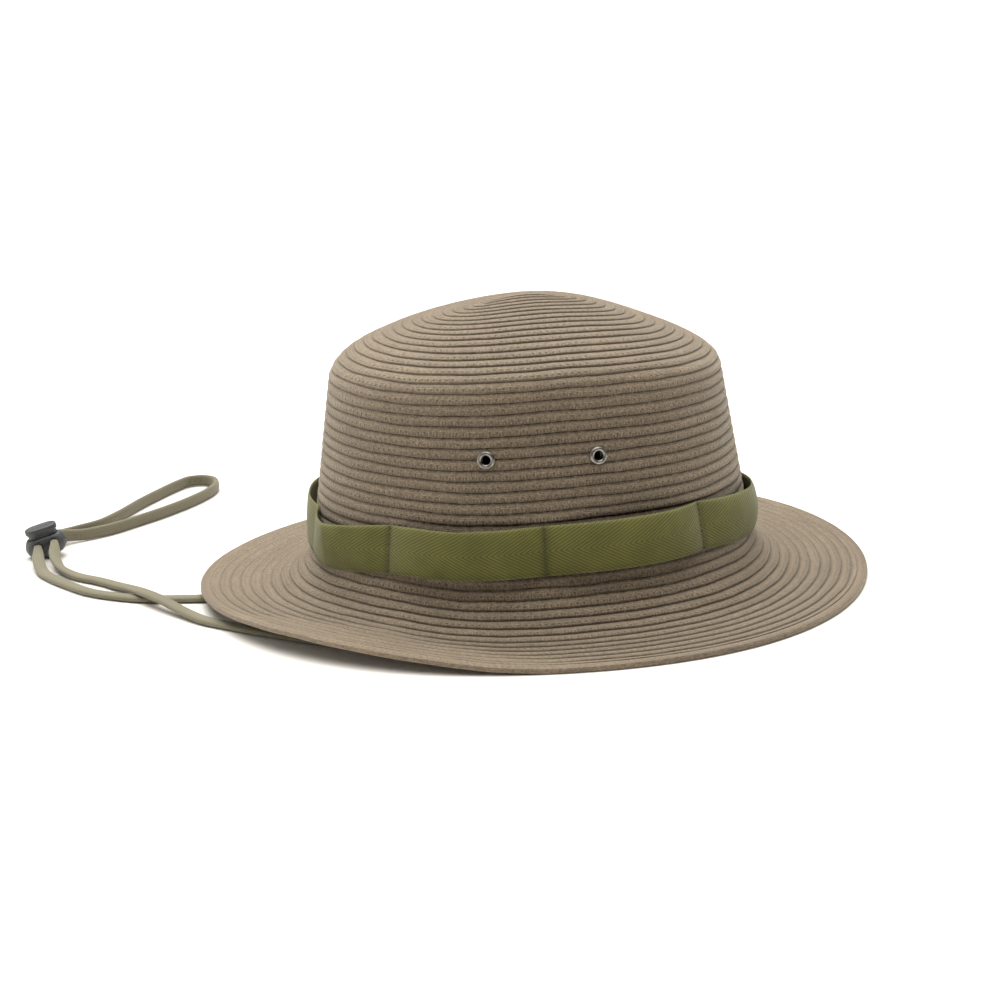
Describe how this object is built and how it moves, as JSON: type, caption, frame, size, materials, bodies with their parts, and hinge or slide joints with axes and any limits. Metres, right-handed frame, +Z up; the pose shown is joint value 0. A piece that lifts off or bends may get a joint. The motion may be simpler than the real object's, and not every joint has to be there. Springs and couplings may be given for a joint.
{
  "type": "bush hat",
  "caption": "Bush hat of sewn straw braid with a wide brim, an olive webbing foliage band, metal vent eyelets and a loose chin cord on a spring lock",
  "frame": {"origin": "on the surface that the hat rests on, below the middle of the brim's length and width", "axes": "+X along the longer side of the hat, away from the loose end of the cord; +Y away from the viewer of the picture, towards the far ear; +Z up, crown side"},
  "size_m": [0.3985, 0.3469, 0.1327],
  "materials": {
    "straw_braid": "sewn rows of flat woven braid, dull",
    "olive_webbing": "herringbone webbing, dull",
    "gunmetal": "dark satin metal",
    "cord_weave": "flat braided cord, dull",
    "lock_plastic": "moulded plastic, matte"
  },
  "bodies": {
    "hat": {"braid_body": "straw_braid", "hat_band": "olive_webbing", "eyelet_near_left": "gunmetal", "eyelet_near_right": "gunmetal", "eyelet_far_left": "gunmetal", "eyelet_far_right": "gunmetal", "cord_tab_near": "olive_webbing", "cord_tab_far": "olive_webbing", "chin_cord": "cord_weave", "cord_lock_body": "lock_plastic"},
    "lock_button": {"cord_lock_button": "lock_plastic"}
  },
  "joints": [
    {"name": "lock_press", "type": "slide", "parent": "hat", "child": "lock_button", "axis": [0.2241, 0.0196, -0.9744], "range_m": [0, 0.0022], "stiffness_N_per_m": 400, "springref_m": -0.002}
  ]
}
